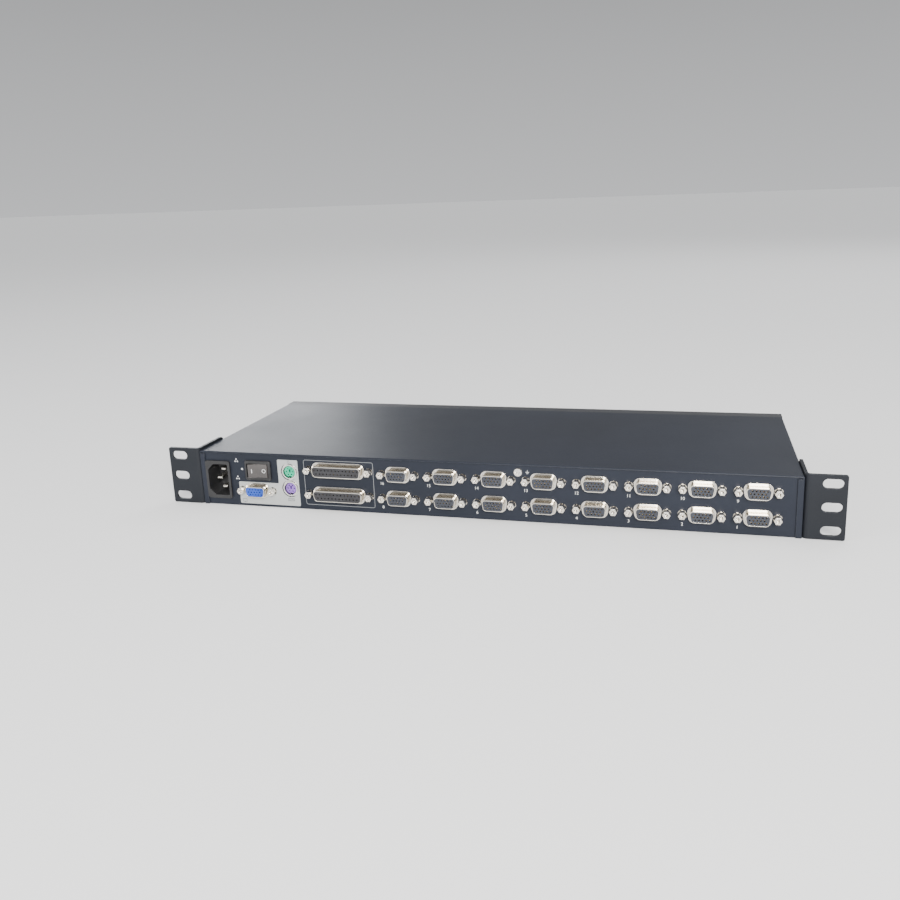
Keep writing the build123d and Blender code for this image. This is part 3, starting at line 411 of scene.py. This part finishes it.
def make_materials():
    """One material for each slot of the record, then those of the added pieces."""
    return {
        "case_paint": powder_coat("case_paint", (0.011, 0.0135, 0.020), (0.016, 0.019, 0.028)),
        "ear_paint": powder_coat("ear_paint", (0.009, 0.010, 0.013), (0.014, 0.016, 0.020), 0.46),
        "bezel_plastic": moulded("bezel_plastic", (0.018, 0.019, 0.023), 0.48, 1100.0, 0.00005, 0.06),
        "case_screw_black": plating("case_screw_black", (0.075, 0.075, 0.08), 0.34),
        "ground_nickel": plating("ground_nickel", (0.86, 0.83, 0.78), 0.20, (500.0, 500.0, 500.0)),
        "shell_nickel": plating("shell_nickel", (0.77, 0.73, 0.66), 0.11, (90.0, 400.0, 400.0), 1e-6),
        "jack_nickel": plating("jack_nickel", (0.93, 0.88, 0.80), 0.17, (500.0, 60.0, 500.0), 2e-6),
        "contact_body": moulded("contact_body", (0.022, 0.025, 0.034), 0.40, 1800.0, 0.00001),
        "video_body": moulded("video_body", (0.010, 0.052, 0.33), 0.38, 1800.0, 0.00001),
        "chain_body": moulded("chain_body", (0.016, 0.016, 0.019), 0.42, 1800.0, 0.00001),
        "socket_shield": plating("socket_shield", (0.80, 0.79, 0.76), 0.28, (400.0, 80.0, 400.0)),
        "keyboard_plastic": moulded("keyboard_plastic", (0.17, 0.085, 0.34), 0.42),
        "mouse_plastic": moulded("mouse_plastic", (0.010, 0.36, 0.20), 0.42),
        "print_grey": printed("print_grey", (0.36, 0.375, 0.37), 0.42),
        "inlet_plastic": moulded("inlet_plastic", (0.013, 0.013, 0.014), 0.36, 1300.0, 0.00003),
        "blade_nickel": plating("blade_nickel", (0.80, 0.76, 0.69), 0.24, (500.0, 60.0, 500.0)),
        "switch_plastic": moulded("switch_plastic", (0.013, 0.013, 0.014), 0.34, 1300.0, 0.00002),
        "rocker_plastic": moulded(
            "rocker_plastic", (0.045, 0.040, 0.038), 0.16, 500.0, 0.000006, Coat_Weight=0.6
        ),
        "board_laminate": laminate(),
        "spacer_steel": plating("spacer_steel", (0.66, 0.66, 0.64), 0.32),
        "chip_epoxy": moulded("chip_epoxy", (0.022, 0.022, 0.023), 0.55, 2200.0, 0.00003),
        "transformer_core": wrapped_core(),
        "capacitor_sleeve": moulded("capacitor_sleeve", (0.02, 0.028, 0.085), 0.25, 300.0, 0.00001),
        "lead_insulation": moulded("lead_insulation", (0.40, 0.41, 0.43), 0.45, 900.0, 0.00002),
        "tact_plastic": moulded("tact_plastic", (0.03, 0.03, 0.032), 0.45),
        "lens_clear": lens_plastic(),
        "display_dark": moulded(
            "display_dark", (0.030, 0.004, 0.005), 0.10, 200.0, 0.000003, Coat_Weight=1.0
        ),
        "button_plastic": moulded("button_plastic", (0.30, 0.315, 0.34), 0.46, 1300.0, 0.00004),
        "reset_plastic": moulded("reset_plastic", (0.03, 0.03, 0.033), 0.45),
        "slider_plastic": moulded("slider_plastic", (0.55, 0.55, 0.52), 0.45),
        "modular_plastic": moulded("modular_plastic", (0.016, 0.016, 0.018), 0.40, 1500.0, 0.00002),
        "white_ink": printed("white_ink", (0.66, 0.67, 0.67)),
        "dim_ink": printed("dim_ink", (0.20, 0.21, 0.22)),
        "dark_ink": printed("dark_ink", (0.05, 0.055, 0.065)),
        "gold": plating("gold", (0.62, 0.44, 0.19), 0.34, (500.0, 500.0, 500.0)),
        "segment": printed("segment", (0.16, 0.030, 0.028), 0.35),
    }


def dress_cad(made):
    """Gives each CAD node the material of its slot in the record."""
    slot_of = {row["node"]: row["material_slot"] for row in frame["record"]["subparts"]}
    for name, node in nodes.items():
        material = made[slot_of[name]]
        if not node.material_slots:
            node.data.materials.append(material)
        for slot in node.material_slots:
            slot.material = material


# ---------------------------------------------------------------- flat shapes in (u, v)
def bar(u0, v0, u1, v1):
    return [(u0, v0), (u1, v0), (u1, v1), (u0, v1)], [(0, 1, 2, 3)]


def disc(u, v, radius, sides=20):
    points = [
        (u + radius * cos(2 * pi * i / sides), v + radius * sin(2 * pi * i / sides))
        for i in range(sides)
    ]
    return points, [tuple(range(sides))]


def rounded(u0, v0, u1, v1, radius, steps=6):
    """Corner points of a rounded rectangle, anticlockwise."""
    points = []
    for cu, cv, start in (
        (u1 - radius, v1 - radius, 0.0), (u0 + radius, v1 - radius, 90.0),
        (u0 + radius, v0 + radius, 180.0), (u1 - radius, v0 + radius, 270.0),
    ):
        for i in range(steps + 1):
            angle = radians(start + 90.0 * i / steps)
            points.append((cu + radius * cos(angle), cv + radius * sin(angle)))
    return points


def band(outer, inner):
    """Strip between two loops with the same number of points."""
    count = len(outer)
    faces = [(i, (i + 1) % count, count + (i + 1) % count, count + i) for i in range(count)]
    return outer + inner, faces


def outline(u0, v0, u1, v1, radius, width):
    inner = rounded(u0 + width, v0 + width, u1 - width, v1 - width, max(radius - width, 1e-5))
    return band(rounded(u0, v0, u1, v1, radius), inner)


def ring(u, v, outer, inner, sides=28):
    return band(disc(u, v, outer, sides)[0], disc(u, v, inner, sides)[0])


def text(words, size):
    """Filled faces of a few characters, centred, in the default font."""
    curve = bpy.data.curves.new("words", "FONT")
    curve.body = words
    curve.size = size
    curve.align_x = "CENTER"
    curve.align_y = "CENTER"
    curve.resolution_u = 3
    holder = bpy.data.objects.new("words", curve)
    bpy.context.scene.collection.objects.link(holder)
    bpy.context.view_layer.update()
    mesh = bpy.data.meshes.new_from_object(holder)
    flat = [(p.co.x, p.co.y) for p in mesh.vertices]
    faces = [tuple(f.vertices) for f in mesh.polygons]
    bpy.data.objects.remove(holder)
    bpy.data.curves.remove(curve)
    bpy.data.meshes.remove(mesh)
    return flat, faces


upright = Matrix.Rotation(radians(90), 4, "X")  # turns (u, v) to face the port side
facing_back = Matrix.Rotation(pi, 4, "Z") @ upright  # and this to face the control side


def on_port_panel(x, z, lift=ink_lift):
    return Matrix.Translation((x, panel_y - lift, z)) @ upright


def on_bezel(x, z):
    return Matrix.Translation((x, bezel_y + ink_lift, z)) @ facing_back


class Piece:
    """One new mesh object, gathered from many small shapes."""

    def __init__(self, name, material, body="chassis", slot=None):
        self.name, self.material, self.body, self.slot = name, material, body, slot
        self.points, self.faces = [], []

    def add(self, points, faces, place):
        """Takes flat or solid points, and where they go."""
        base = len(self.points)
        for point in points:
            self.points.append(place @ Vector(point).to_3d())
        self.faces += [tuple(base + i for i in face) for face in faces]

    def finish(self, smooth=False):
        """Makes the object and gives it to its body."""
        mesh = bpy.data.meshes.new(self.name)
        mesh.from_pydata(self.points, [], self.faces)
        mesh.materials.append(self.material)
        mesh.update()
        if smooth:
            mesh.shade_smooth()
        made = bpy.data.objects.new(self.name, mesh)
        bpy.context.scene.collection.objects.link(made)
        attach(made, self.body)


# ---------------------------------------------------------------- print on the port panel
def print_port_numbers(ink):
    piece = Piece("port_numbers", ink, slot="print_grey")
    size, drop = 3.1 * MM, 7.2 * MM
    for number, (x, z) in enumerate(port_spots, start=1):
        piece.add(*text(str(number), size), on_port_panel(x - jack_gap, z - drop))
    piece.finish()


def print_panel_marks(ink):
    """Generic dots by the power switch and an earth sign by the ground screw, in mm round each."""
    piece = Piece("panel_marks", ink, slot="print_grey")
    switch = middle("power_switch_frame")
    left = low("power_switch_frame").x
    for dz in (7.0 * MM, -6.6 * MM):
        for du, dv in ((0, 0.9), (-0.95, -0.75), (0.95, -0.75)):
            place = on_port_panel(left - 7.2 * MM, switch.z + dz)
            piece.add(*disc(du * MM, dv * MM, 0.55 * MM, 12), place)
    piece.add(*disc(0, 0, 0.75 * MM, 14), on_port_panel(left - 3.0 * MM, switch.z + 0.4 * MM))
    ground = middle("ground_screw")
    place = on_port_panel(ground.x + 6.4 * MM, ground.z)
    piece.add(*bar(-0.12 * MM, 0, 0.12 * MM, 1.5 * MM), place)
    for half, v in ((1.3, 0.0), (0.85, -0.55), (0.4, -1.1)):
        piece.add(*bar(-half * MM, v * MM - 0.12 * MM, half * MM, v * MM + 0.12 * MM), place)
    piece.finish()


def print_chain_frame(ink):
    piece = Piece("chain_frame", ink, slot="print_grey")
    place = on_port_panel(chain_x, 0)
    half = 27.2 * MM
    low_z, high_z = chain_rows[0] - 8.6 * MM, chain_rows[1] + 7.4 * MM
    corner, line = 1.6 * MM, 0.35 * MM
    piece.add(*outline(-half, low_z, half, high_z, corner, line), place)
    piece.finish()


def print_console_icons(ink):
    """Small generic screen, keyboard and mouse signs on the grey area."""
    piece = Piece("console_icons", ink, slot="print_grey")
    lift = panel_y - low("console_film").y + 0.03 * MM  # on top of the grey print
    keyboard, mouse = middle("keyboard_insert"), middle("mouse_insert")
    place = on_port_panel(low("console_film").x + 3.6 * MM, video_spot[1] - 8.4 * MM, lift)
    piece.add(*outline(-1.8 * MM, -1.1 * MM, 1.8 * MM, 1.3 * MM, 0.3 * MM, 0.28 * MM), place)
    piece.add(*bar(-0.8 * MM, -1.7 * MM, 0.8 * MM, -1.4 * MM), place)
    place = on_port_panel(keyboard.x, keyboard.z - 8.6 * MM, lift)
    piece.add(*outline(-2.6 * MM, -1.1 * MM, 2.6 * MM, 1.1 * MM, 0.3 * MM, 0.25 * MM), place)
    for i in range(5):
        for j in range(2):
            u, v = (i - 2) * 0.85 * MM, (j - 0.5) * 0.75 * MM
            piece.add(*bar(u - 0.22 * MM, v - 0.2 * MM, u + 0.22 * MM, v + 0.2 * MM), place)
    place = on_port_panel(mouse.x, mouse.z + 7.5 * MM, lift)
    piece.add(*outline(-0.9 * MM, -1.2 * MM, 0.9 * MM, 1.2 * MM, 0.85 * MM, 0.25 * MM), place)
    piece.add(*bar(-0.1 * MM, 0.2 * MM, 0.1 * MM, 1.1 * MM), place)
    piece.finish()


# ---------------------------------------------------------------- metal in the sockets
def tube(radius, inner, length, sides=10):
    """Short tube along +Z from the origin: outer wall, inner wall and front lip."""
    points = []
    for r, z in ((radius, 0), (radius, length), (inner, length), (inner, 0)):
        points += [
            (r * cos(2 * pi * i / sides), r * sin(2 * pi * i / sides), z) for i in range(sides)
        ]
    faces = []
    for loop in range(3):
        for i in range(sides):
            a, b = loop * sides + i, loop * sides + (i + 1) % sides
            faces.append((a, b, b + sides, a + sides))
    return points, faces


def fifteen_way_contacts():
    """Three staggered rows of five."""
    pitch, row_gap, stagger = 2.29, 1.98, 0.57
    return [
        ((i - 2) * pitch * MM + shift * MM, (1 - row) * row_gap * MM)
        for row, shift in enumerate((stagger, -stagger, stagger))
        for i in range(5)
    ]


def twenty_five_way_contacts():
    """A row of thirteen over a row of twelve."""
    pitch, row_gap = 2.77, 2.84
    return [
        ((i - (count - 1) / 2) * pitch * MM, (0.5 - row) * row_gap * MM)
        for row, count in enumerate((13, 12))
        for i in range(count)
    ]


def make_contact_sleeves(gold):
    """A gold sleeve a little way down each contact hole."""
    piece = Piece("contact_sleeves", gold, slot="shell_nickel")
    back_y = low("port_housings").y + 3.3 * MM
    sleeve = tube(0.54 * MM, 0.40 * MM, 1.6 * MM)
    small, large = fifteen_way_contacts(), twenty_five_way_contacts()
    spots = [(x + u, z + v) for x, z in port_spots + [video_spot] for u, v in small]
    spots += [(chain_x + u, z + v) for z in chain_rows for u, v in large]
    for x, z in spots:
        piece.add(*sleeve, Matrix.Translation((x, back_y, z)) @ upright)
    piece.finish(smooth=True)


def make_threads(metal):
    """Thread crests inside each jackscrew's bore."""
    piece = Piece("jackscrew_threads", metal, slot="jack_nickel")
    tip_y = low("jackscrews").y
    crest = tube(1.26 * MM, 1.02 * MM, 0.16 * MM, 16)
    crests, first_crest, crest_pitch = 6, 0.45, 0.62
    tilt = Matrix.Rotation(radians(90 + 3), 4, "X")
    spots = [(x + s * jack_gap, z) for x, z in port_spots + [video_spot] for s in (-1, 1)]
    spots += [(chain_x + s * chain_jack_gap, z) for z in chain_rows for s in (-1, 1)]
    for x, z in spots:
        for i in range(crests):
            y = tip_y + (first_crest + crest_pitch * i) * MM
            piece.add(*crest, Matrix.Translation((x, y, z)) @ tilt)
    piece.finish(smooth=True)


def make_modular_contacts(gold):
    """Six sprung wires in the roof of the update socket."""
    piece = Piece("update_socket_contacts", gold, slot="shell_nickel")
    socket = middle("update_socket")
    wires, pitch, half, thick = 6, 1.02, 0.17 * MM, 0.3 * MM
    path = [(-1.2, 3.3), (-3.0, 3.1), (-7.5, 1.1), (-10.5, 0.6), (-10.8, 1.0)]
    for i in range(wires):
        x = socket.x + (i - (wires - 1) / 2) * pitch * MM
        points = []
        for dy, dz in path:
            for side in (-half, half):
                for drop in (0.0, -thick):
                    points.append((x + side, bezel_y + dy * MM, socket.z + dz * MM + drop))
        faces = []
        for k in range(len(path) - 1):
            a, b = 4 * k, 4 * k + 4
            for p, q in ((0, 1), (1, 3), (3, 2), (2, 0)):
                faces.append((a + p, a + q, b + q, b + p))
        piece.add(points, faces, Matrix.Identity(4))
    piece.finish()


# ---------------------------------------------------------------- controls
def print_rocker(ink):
    """Bar and ring signs on the rocker's two sloping halves, placed in mm round its pivot."""
    switch = middle("power_rocker")
    pivot = Matrix.Translation((switch.x, panel_y + 1.6 * MM, switch.z))
    piece = Piece("rocker_signs", ink, body="power_rocker", slot="print_grey")
    rest_tilt = Matrix.Rotation(radians(9), 4, "Z")
    waist, tip, tip_u = 3.4, 4.6, 7.25
    lean = (tip - waist) / tip_u
    sign_u, lean_angle, lift = 4.6, 0.164, 0.03
    for sign in (-1, 1):
        depth = waist + lean * sign_u + lift
        half_face = Matrix.Translation((sign * sign_u * MM, -depth * MM, 0))
        face = Matrix.Rotation(-sign * lean_angle, 4, "Z") @ upright
        place = pivot @ rest_tilt @ half_face @ face
        if sign < 0:
            piece.add(*bar(-0.22 * MM, -1.5 * MM, 0.22 * MM, 1.5 * MM), place)
        else:
            piece.add(*ring(0, 0, 1.5 * MM, 1.12 * MM), place)
    piece.finish()


def print_bezel(ink):
    """Numbers over the buttons, a power sign, the slider's places and rings round what is set in."""
    piece = Piece("control_print", ink, slot="print_grey")
    size, rise = 3.0 * MM, 14.6 * MM
    for number, spot in enumerate(button_spots, start=1):
        piece.add(*text(str(number), size), on_bezel(spot.x, spot.z + rise))
    lens_x = high("indicator_lenses").x - 1.3 * MM
    lens_z = middle("indicator_lenses").z
    place = on_bezel(lens_x, lens_z + 5.0 * MM)
    points, faces = ring(0, 0, 1.5 * MM, 1.2 * MM, 28)
    open_top = [face for i, face in enumerate(faces) if not 5 <= i <= 8]
    piece.add(points, open_top, place)
    piece.add(*bar(-0.15 * MM, 0.2 * MM, 0.15 * MM, 1.7 * MM), place)
    reset, slider = middle("reset_button"), middle("update_slider")
    piece.add(*ring(0, 0, 2.7 * MM, 2.45 * MM, 32), on_bezel(reset.x, reset.z))
    for words, shift in (("1", 0.0), ("2", 3.0)):
        piece.add(*text(words, 2.4 * MM), on_bezel(slider.x + shift * MM, slider.z + 4.4 * MM))
    display = middle("station_display")
    piece.add(
        *outline(-11.6 * MM, -7.8 * MM, 11.6 * MM, 7.8 * MM, 1.4 * MM, 0.3 * MM),
        on_bezel(display.x, display.z),
    )
    piece.finish()


def make_display(ink):
    """Two unlit seven-segment digits on the dark window, in mm and leaning a little."""
    piece = Piece("display_digits", ink, slot="display_dark")
    display = middle("station_display")
    face_y = high("station_display").y
    wide, tall, thick, cut, slant = 2.5, 4.2, 0.45, 0.35, 0.12
    segments = [
        (0, tall, True), (0, 0, True), (0, -tall, True),
        (wide, tall / 2, False), (-wide, tall / 2, False),
        (wide, -tall / 2, False), (-wide, -tall / 2, False),
    ]
    for shift in (-4.7, 4.7):
        spot = (display.x + shift * MM, face_y + 0.03 * MM, display.z)
        place = Matrix.Translation(spot) @ facing_back
        for u, v, flat in segments:
            half = (wide if flat else tall / 2) - cut
            tips = [
                (-half, 0), (-half + thick, -thick), (half - thick, -thick),
                (half, 0), (half - thick, thick), (-half + thick, thick),
            ]
            if not flat:
                tips = [(b, a) for a, b in reversed(tips)]
            points = [((u + a + (v + b) * slant) * MM, (v + b) * MM) for a, b in tips]
            piece.add(points, [tuple(range(len(points)))], place)
        piece.add(*disc((wide + 0.9) * MM, -tall * MM, 0.5 * MM, 12), place)
    piece.finish()


# ---------------------------------------------------------------- the whole scene
make_camera()
make_world()
make_lights()
make_floor()
finishes = make_materials()
dress_cad(finishes)
print_port_numbers(finishes["white_ink"])
print_panel_marks(finishes["white_ink"])
print_chain_frame(finishes["dim_ink"])
print_console_icons(finishes["dark_ink"])
make_contact_sleeves(finishes["gold"])
make_threads(finishes["jack_nickel"])
make_modular_contacts(finishes["gold"])
print_rocker(finishes["white_ink"])
print_bezel(finishes["white_ink"])
make_display(finishes["segment"])
